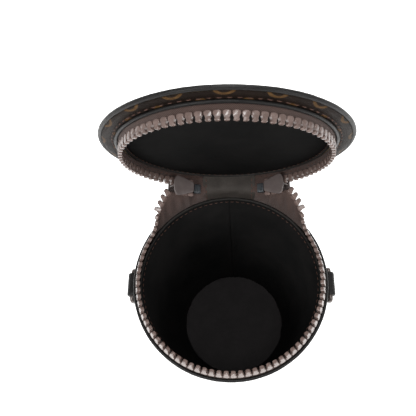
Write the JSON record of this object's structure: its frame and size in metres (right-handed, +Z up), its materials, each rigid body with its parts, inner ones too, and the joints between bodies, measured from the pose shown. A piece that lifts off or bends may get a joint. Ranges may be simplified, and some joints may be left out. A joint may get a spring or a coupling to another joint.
{
  "type": "dice cup",
  "caption": "Tapered leather and canvas dice cup with a zip-round hinged lid, soft lining, side tabs with D-rings and a pull on each zip slider.",
  "frame": {"origin": "centre of the underside, on the table", "axes": "+Z up out of the mouth; +Y towards the hinge at the back; +X to the right seen from the front"},
  "size_m": [0.131, 0.1259, 0.2607],
  "materials": {
    "coated_canvas": "satin coated canvas, brown with a printed pattern",
    "black_leather": "smooth black leather with a slight sheen",
    "hinge_leather": "matte dark leather",
    "lining": "near-black microfibre",
    "stiffener": "fibre board",
    "piping_cord": "plastic cord",
    "zip_tape": "woven brown tape",
    "zip_teeth": "moulded brown teeth",
    "end_stop": "ribbed grey metal",
    "slider_paint": "brown-grey painted metal",
    "dark_metal": "brown-grey painted metal"
  },
  "bodies": {
    "cup": {"body_canvas": "coated_canvas", "body_board": "stiffener", "body_lining": "lining", "back_strip": "black_leather", "base_panel": "black_leather", "base_board": "stiffener", "floor_pad": "lining", "base_piping": "black_leather", "base_piping_cord": "piping_cord", "rim_piping": "black_leather", "rim_piping_cord": "piping_cord", "rim_binding": "hinge_leather", "cup_zip_tape": "zip_tape", "cup_zip_teeth": "zip_teeth", "hinge_lower": "hinge_leather", "left_strap_tab": "black_leather", "right_strap_tab": "black_leather"},
    "lid": {"hinge_upper": "hinge_leather", "lid_band": "coated_canvas", "lid_top_panel": "coated_canvas", "lid_board": "stiffener", "lid_lining": "lining", "lid_edge_piping": "black_leather", "lid_edge_piping_cord": "piping_cord", "lid_rim_piping": "black_leather", "lid_rim_piping_cord": "piping_cord", "lid_binding": "hinge_leather", "lid_zip_tape": "zip_tape", "lid_zip_teeth": "zip_teeth", "left_end_stop": "end_stop", "right_end_stop": "end_stop"},
    "left_slider": {"left_slider": "slider_paint"},
    "right_slider": {"right_slider": "slider_paint"},
    "left_pull": {"left_pull_link": "dark_metal", "left_pull_tab": "black_leather"},
    "right_pull": {"right_pull_link": "dark_metal", "right_pull_tab": "black_leather"},
    "left_ring": {"left_d_ring": "dark_metal"},
    "right_ring": {"right_d_ring": "dark_metal"}
  },
  "joints": [
    {"name": "lid_hinge", "type": "hinge", "parent": "cup", "child": "lid", "pos_m": [0, 0.055, 0.1401], "axis": [-1, 0, 0], "range_deg": [-80, 10]},
    {"name": "left_slider_travel", "type": "hinge", "parent": "lid", "child": "left_slider", "pos_m": [0, 0.04545, 0.19426], "axis": [0, 0.9848, 0.1736], "range_deg": [0, 140]},
    {"name": "left_pull_swing", "type": "hinge", "parent": "left_slider", "child": "left_pull", "pos_m": [-0.0324, 0.05463, 0.1422], "axis": [0.9944, 0.1058, 0], "range_deg": [-8, 60]},
    {"name": "right_slider_travel", "type": "hinge", "parent": "lid", "child": "right_slider", "pos_m": [0, 0.04545, 0.19426], "axis": [0, -0.9848, -0.1736], "range_deg": [0, 140]},
    {"name": "right_pull_swing", "type": "hinge", "parent": "right_slider", "child": "right_pull", "pos_m": [0.0324, 0.05463, 0.1422], "axis": [0.9944, -0.1058, 0], "range_deg": [-8, 60]},
    {"name": "left_ring_swing", "type": "hinge", "parent": "cup", "child": "left_ring", "pos_m": [-0.05936, 0, 0.123], "axis": [0, 1, 0], "range_deg": [-3, 150]},
    {"name": "right_ring_swing", "type": "hinge", "parent": "cup", "child": "right_ring", "pos_m": [0.05936, 0, 0.123], "axis": [0, -1, 0], "range_deg": [-3, 150]}
  ]
}
